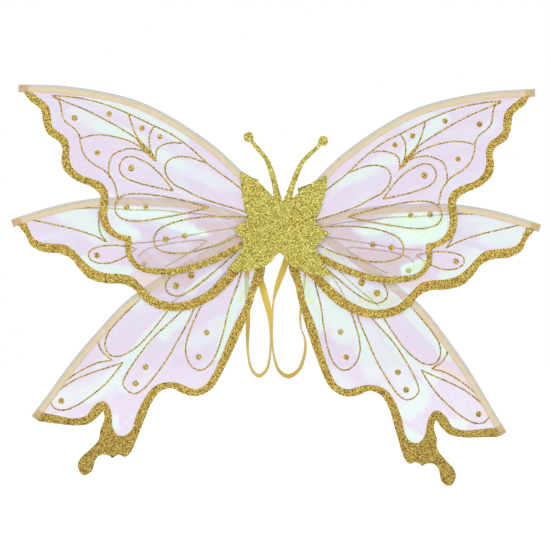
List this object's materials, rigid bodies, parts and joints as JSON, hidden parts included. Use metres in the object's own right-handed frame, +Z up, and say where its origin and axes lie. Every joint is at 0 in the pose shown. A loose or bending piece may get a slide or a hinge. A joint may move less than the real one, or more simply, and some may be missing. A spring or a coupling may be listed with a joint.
{
  "type": "fairy wings",
  "caption": "Costume fairy wings: sheer film wings on sprung strips, glued into a foam butterfly with antennae, folding at each side, with two elastic shoulder loops behind.",
  "frame": {"origin": "centre of the rear cover's rear face, which rests on the wearer's back", "axes": "+X to the right seen from the front, +Y to the rear, towards the wearer, +Z up, wings spread in the X-Z plane"},
  "size_m": [0.7965, 0.0435, 0.6038],
  "materials": {
    "glitter_foam": "olive-gold glitter bonded to foam sheet",
    "core_foam": "plain white foam",
    "strap_elastic": "woven flat elastic, satin",
    "tack_thread": "sewing thread",
    "wing_film": "iridescent film, lilac to mint, printed with gold glitter",
    "sleeve_film": "folded iridescent film, tan where the strip shows through",
    "boning": "tan sprung plastic strip"
  },
  "bodies": {
    "centre": {"front_cover": "glitter_foam", "back_cover": "glitter_foam", "core_pad": "core_foam", "left_strap": "strap_elastic", "left_upper_tack": "tack_thread", "left_lower_tack": "tack_thread", "right_strap": "strap_elastic", "right_upper_tack": "tack_thread", "right_lower_tack": "tack_thread"},
    "left_wings": {"left_upper_film": "wing_film", "left_upper_sleeve": "sleeve_film", "left_upper_spar": "boning", "left_middle_film": "wing_film", "left_middle_sleeve": "sleeve_film", "left_middle_spar": "boning", "left_lower_film": "wing_film", "left_lower_sleeve": "sleeve_film", "left_lower_spar": "boning"},
    "right_wings": {"right_upper_film": "wing_film", "right_upper_sleeve": "sleeve_film", "right_upper_spar": "boning", "right_middle_film": "wing_film", "right_middle_sleeve": "sleeve_film", "right_middle_spar": "boning", "right_lower_film": "wing_film", "right_lower_sleeve": "sleeve_film", "right_lower_spar": "boning"}
  },
  "joints": [
    {"name": "left_flap", "type": "hinge", "parent": "centre", "child": "left_wings", "pos_m": [-0.02, -0.0071, 0], "axis": [0, 0, 1], "range_deg": [-15, 80], "stiffness_Nm_per_rad": 0.05, "deforming": ["front_cover", "back_cover"]},
    {"name": "right_flap", "type": "hinge", "parent": "centre", "child": "right_wings", "pos_m": [0.02, -0.0071, 0], "axis": [0, 0, -1], "range_deg": [-15, 80], "stiffness_Nm_per_rad": 0.05, "deforming": ["front_cover", "back_cover"]}
  ]
}
